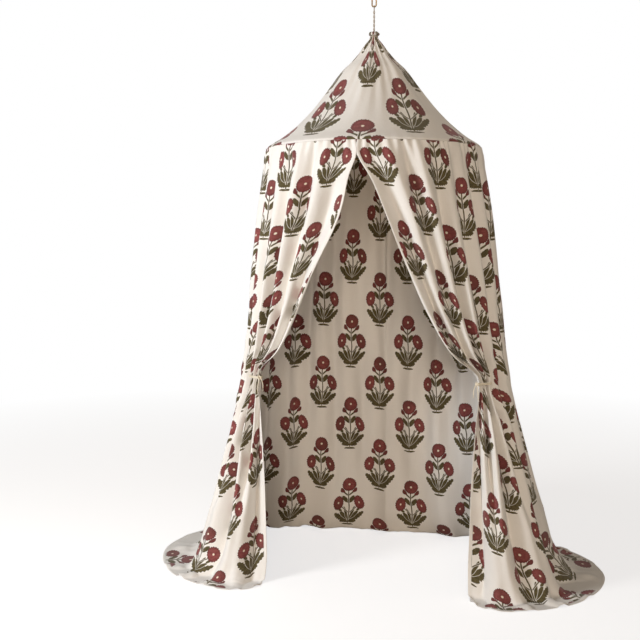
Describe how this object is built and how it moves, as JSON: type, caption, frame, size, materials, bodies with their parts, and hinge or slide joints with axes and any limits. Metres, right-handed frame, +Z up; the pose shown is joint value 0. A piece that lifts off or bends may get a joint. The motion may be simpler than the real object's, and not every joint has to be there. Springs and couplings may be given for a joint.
{
  "type": "bed crown canopy",
  "caption": "Hanging bed canopy: printed cotton cone roof on a cane hoop over long drapes, parted at the front and tied back, hung by a cord and snap link from a swivel ceiling plate.",
  "frame": {"origin": "middle of the ceiling plate's top face, where it meets the ceiling", "axes": "+Z up out of the plate into the ceiling, front opening towards -Y, +X to the viewer's right"},
  "size_m": [2.06, 1.1274, 2.6096],
  "materials": {
    "printed_cotton": "plain-weave cotton with a half-drop flower print in brick red and olive",
    "cotton_cord": "twisted natural cotton cord",
    "brass": "aged satin brass",
    "cane": "peeled cane, lightly waxed",
    "beech": "turned beech, oiled"
  },
  "bodies": {
    "ceiling_mount": {"ceiling_plate": "brass", "swivel_cup": "brass", "swivel_washer": "brass"},
    "canopy": {"swivel_eye": "brass", "snap_link": "brass", "gate_pin": "brass", "cone_roof": "printed_cotton", "neck_binding": "cotton_cord", "apex_plug": "beech", "cord_knot": "cotton_cord", "hanging_cord": "cotton_cord", "hoop_back": "cane", "hoop_front": "cane", "ferrule_right": "brass", "ferrule_left": "brass", "hoop_casing": "printed_cotton", "front_right_drape": "printed_cotton", "back_right_drape": "printed_cotton", "front_left_drape": "printed_cotton", "back_left_drape": "printed_cotton", "tie_cord_right": "cotton_cord", "tie_knot_right": "cotton_cord", "tie_cord_left": "cotton_cord", "tie_knot_left": "cotton_cord"},
    "gate": {"link_gate": "brass"}
  },
  "joints": [
    {"name": "canopy_swivel", "type": "hinge", "parent": "ceiling_mount", "child": "canopy", "pos_m": [0, 0, -0.03], "axis": [0, 0, 1], "continuous": true},
    {"name": "gate_hinge", "type": "hinge", "parent": "canopy", "child": "gate", "pos_m": [-0.009, 0, -0.0945], "axis": [0, 1, 0], "range_deg": [0, 15], "stiffness_Nm_per_rad": 0.04, "springref_deg": -11.46}
  ]
}
